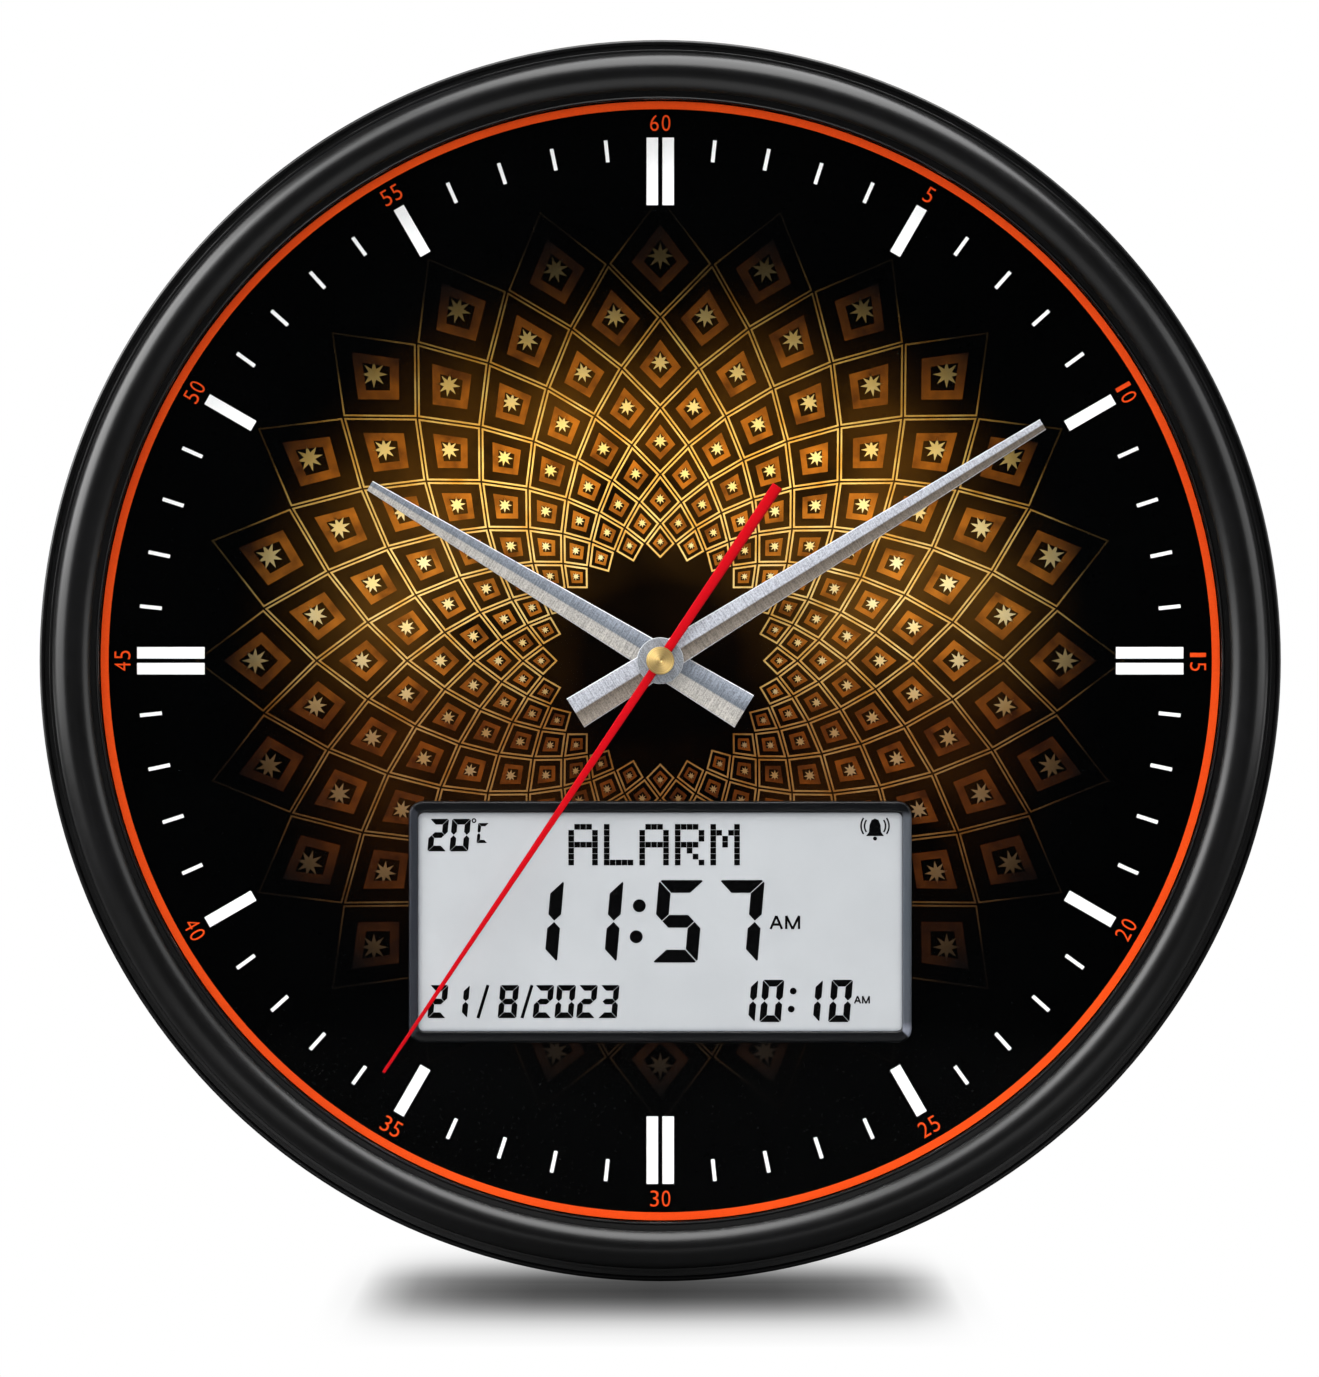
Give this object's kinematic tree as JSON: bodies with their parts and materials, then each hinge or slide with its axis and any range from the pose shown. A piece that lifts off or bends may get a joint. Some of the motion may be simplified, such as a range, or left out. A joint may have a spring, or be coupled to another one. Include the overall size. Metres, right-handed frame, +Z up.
{
  "type": "prayer time wall clock",
  "caption": "Round wall clock with three hands over a printed dial, a segment display for time and date, a speaker, a battery box and a keyhole hanger.",
  "frame": {"origin": "where the axis of the hands meets the wall plane, on the flat rear face of the cover", "axes": "+Z up, +Y into the wall, the dial faces -Y, +X to the right as seen from the front"},
  "size_m": [0.33, 0.0435, 0.33],
  "materials": {
    "frame_gloss": "glossy black moulded plastic",
    "clear_lens": "clear flat glass",
    "spacer_black": "black moulded ring",
    "dial_print": "printed dial sheet",
    "display_frame_black": "glossy black moulding with a bevelled edge",
    "display_glass": "grey reflective display glass",
    "strip_rubber": "matt rubber",
    "circuit_board": "green lacquered board",
    "button_white": "satin off-white plastic",
    "plated_steel": "zinc plated sheet steel",
    "cone_paper": "pressed black paper",
    "magnet_steel": "dark ferrite and steel",
    "cell_jacket": "plain printed foil jacket with bare ends",
    "cover_black": "finely textured black plastic",
    "screw_steel": "zinc plated screw",
    "gear_white": "natural acetal",
    "pipe_brass": "turned brass",
    "hand_aluminium": "cross-brushed aluminium with a centre ridge",
    "hand_red": "red painted aluminium",
    "cap_brass": "turned brass",
    "coil_copper": "enamelled copper wire on a bobbin",
    "movement_black": "black moulded case",
    "lead_grey": "insulated wire",
    "lead_red": "insulated wire",
    "lead_black": "insulated wire"
  },
  "bodies": {
    "case": {"bezel": "frame_gloss", "lens": "clear_lens", "spacer_ring": "spacer_black", "dial": "dial_print", "lcd_frame": "display_frame_black", "lcd_front_glass": "display_glass", "lcd_rear_glass": "display_glass", "contact_strip_upper": "strip_rubber", "contact_strip_lower": "strip_rubber", "main_board": "circuit_board", "speaker_basket": "plated_steel", "speaker_cone": "cone_paper", "speaker_magnet": "magnet_steel", "cell_1": "cell_jacket", "cell_2": "cell_jacket", "cell_3": "cell_jacket", "contact_negative": "plated_steel", "contact_link_lower": "plated_steel", "contact_link_upper": "plated_steel", "contact_positive": "plated_steel", "hanger_plate": "plated_steel", "rear_cover": "cover_black", "cover_screw_1": "screw_steel", "cover_screw_2": "screw_steel", "cover_screw_3": "screw_steel", "cover_screw_4": "screw_steel", "cover_screw_5": "screw_steel", "cover_screw_6": "screw_steel", "stator": "plated_steel", "coil": "coil_copper", "movement_rear_case": "movement_black", "middle_plate": "gear_white", "movement_front_case": "movement_black", "movement_board": "circuit_board", "movement_washer": "strip_rubber", "movement_nut": "pipe_brass", "speaker_lead": "lead_grey", "battery_lead_positive": "lead_red", "battery_lead_negative": "lead_black", "movement_lead": "lead_grey"},
    "second_train": {"second_hand": "hand_red", "second_cap": "cap_brass", "second_wheel": "gear_white"},
    "third_train": {"third_wheel": "gear_white"},
    "intermediate_train": {"intermediate_wheel": "gear_white"},
    "rotor_train": {"rotor": "magnet_steel"},
    "centre_train": {"centre_wheel": "gear_white"},
    "minute_train": {"minute_hand": "hand_aluminium", "cannon_pinion": "pipe_brass"},
    "hour_train": {"hour_hand": "hand_aluminium", "hour_wheel": "gear_white"},
    "setting_train": {"minute_wheel": "gear_white", "setting_knob": "button_white"},
    "push_button_1": {"button_1": "button_white"},
    "push_button_2": {"button_2": "button_white"},
    "push_button_3": {"button_3": "button_white"},
    "push_button_4": {"button_4": "button_white"},
    "push_button_5": {"button_5": "button_white"},
    "door": {"battery_door": "cover_black"}
  },
  "joints": [
    {"name": "second_hand_spin", "type": "hinge", "parent": "case", "child": "second_train", "pos_m": [0, -0.0325, 0], "axis": [0, 1, 0], "continuous": true},
    {"name": "third_wheel_spin", "type": "hinge", "parent": "case", "child": "third_train", "pos_m": [0.00768, -0.0132, 0.00768], "axis": [0, 1, 0], "continuous": true},
    {"name": "intermediate_wheel_spin", "type": "hinge", "parent": "case", "child": "intermediate_train", "pos_m": [-0.00864, -0.01, 0], "axis": [0, 1, 0], "continuous": true},
    {"name": "rotor_spin", "type": "hinge", "parent": "case", "child": "rotor_train", "pos_m": [-0.01256, -0.0123, 0.00678], "axis": [0, 1, 0], "continuous": true},
    {"name": "centre_wheel_spin", "type": "hinge", "parent": "case", "child": "centre_train", "pos_m": [0, -0.016, 0], "axis": [0, 1, 0], "continuous": true},
    {"name": "minute_hand_spin", "type": "hinge", "parent": "case", "child": "minute_train", "pos_m": [0, -0.031, 0], "axis": [0, 1, 0], "continuous": true},
    {"name": "hour_hand_spin", "type": "hinge", "parent": "case", "child": "hour_train", "pos_m": [0, -0.029, 0], "axis": [0, 1, 0], "continuous": true},
    {"name": "setting_knob_spin", "type": "hinge", "parent": "case", "child": "setting_train", "pos_m": [0, -0.01, -0.012], "axis": [0, 1, 0], "continuous": true},
    {"name": "button_1_press", "type": "slide", "parent": "case", "child": "push_button_1", "axis": [0, -1, 0], "range_m": [0, 0.0008], "stiffness_N_per_m": 400, "springref_m": -0.0003},
    {"name": "button_2_press", "type": "slide", "parent": "case", "child": "push_button_2", "axis": [0, -1, 0], "range_m": [0, 0.0008], "stiffness_N_per_m": 400, "springref_m": -0.0003},
    {"name": "button_3_press", "type": "slide", "parent": "case", "child": "push_button_3", "axis": [0, -1, 0], "range_m": [0, 0.0008], "stiffness_N_per_m": 400, "springref_m": -0.0003},
    {"name": "button_4_press", "type": "slide", "parent": "case", "child": "push_button_4", "axis": [0, -1, 0], "range_m": [0, 0.0008], "stiffness_N_per_m": 400, "springref_m": -0.0003},
    {"name": "button_5_press", "type": "slide", "parent": "case", "child": "push_button_5", "axis": [0, -1, 0], "range_m": [0, 0.0008], "stiffness_N_per_m": 400, "springref_m": -0.0003},
    {"name": "battery_door_hinge", "type": "hinge", "parent": "case", "child": "door", "pos_m": [0.085, 0, -0.0202], "axis": [-1, 0, 0], "range_deg": [0, 90]}
  ],
  "couplings": [
    {"joint": "third_wheel_spin", "follows": "second_hand_spin", "ratio": -0.13333},
    {"joint": "intermediate_wheel_spin", "follows": "second_hand_spin", "ratio": -5},
    {"joint": "rotor_spin", "follows": "second_hand_spin", "ratio": 30},
    {"joint": "centre_wheel_spin", "follows": "second_hand_spin", "ratio": 0.016667},
    {"joint": "setting_knob_spin", "follows": "minute_hand_spin", "ratio": -0.33333},
    {"joint": "hour_hand_spin", "follows": "minute_hand_spin", "ratio": 0.083333}
  ]
}
